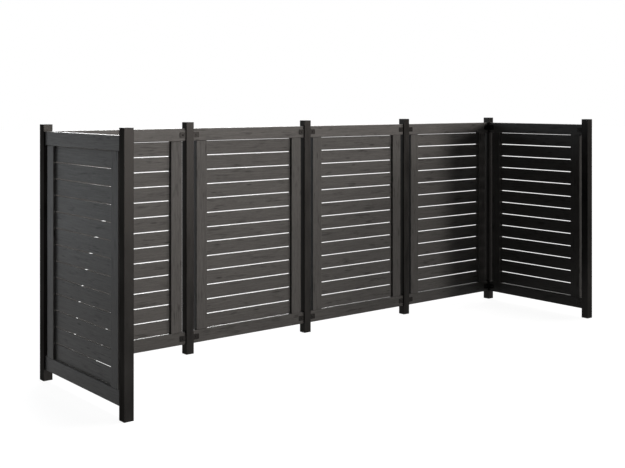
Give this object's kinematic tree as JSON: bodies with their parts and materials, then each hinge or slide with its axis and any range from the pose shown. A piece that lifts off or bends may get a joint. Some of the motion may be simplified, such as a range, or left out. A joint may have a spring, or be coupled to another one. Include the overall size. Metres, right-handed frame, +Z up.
{
  "type": "wheelie bin screen",
  "caption": "U-shaped free-standing screen of slatted board panels between square black posts, open at the front, to hide wheelie bins.",
  "frame": {"origin": "on the ground, in the middle of the screen's footprint", "axes": "+X along the back row from the left return to the right one, +Y from the open front to the back row, +Z up"},
  "size_m": [3.213, 0.837, 1.22],
  "materials": {
    "post": "satin black powder coat",
    "cap": "satin black",
    "rail": "grey-brown composite board, fine embossed grain along the rail",
    "stile": "grey-brown composite board, fine embossed grain up the stile",
    "slat": "grey-brown composite board, fine embossed grain along the slat"
  },
  "bodies": {
    "root": {"post_left_end": "post", "post_left_corner": "post", "post_back_1": "post", "post_back_2": "post", "post_back_3": "post", "post_right_corner": "post", "post_right_end": "post", "cap_left_end": "cap", "cap_left_corner": "cap", "cap_back_1": "cap", "cap_back_2": "cap", "cap_back_3": "cap", "cap_right_corner": "cap", "cap_right_end": "cap", "left_return_bottom_rail": "rail", "left_return_top_rail": "rail", "left_return_left_stile": "stile", "left_return_right_stile": "stile", "left_return_slats": "slat", "back_1_bottom_rail": "rail", "back_1_top_rail": "rail", "back_1_left_stile": "stile", "back_1_right_stile": "stile", "back_1_slats": "slat", "back_2_bottom_rail": "rail", "back_2_top_rail": "rail", "back_2_left_stile": "stile", "back_2_right_stile": "stile", "back_2_slats": "slat", "back_3_bottom_rail": "rail", "back_3_top_rail": "rail", "back_3_left_stile": "stile", "back_3_right_stile": "stile", "back_3_slats": "slat", "back_4_bottom_rail": "rail", "back_4_top_rail": "rail", "back_4_left_stile": "stile", "back_4_right_stile": "stile", "back_4_slats": "slat", "right_return_bottom_rail": "rail", "right_return_top_rail": "rail", "right_return_left_stile": "stile", "right_return_right_stile": "stile", "right_return_slats": "slat"}
  },
  "joints": []
}
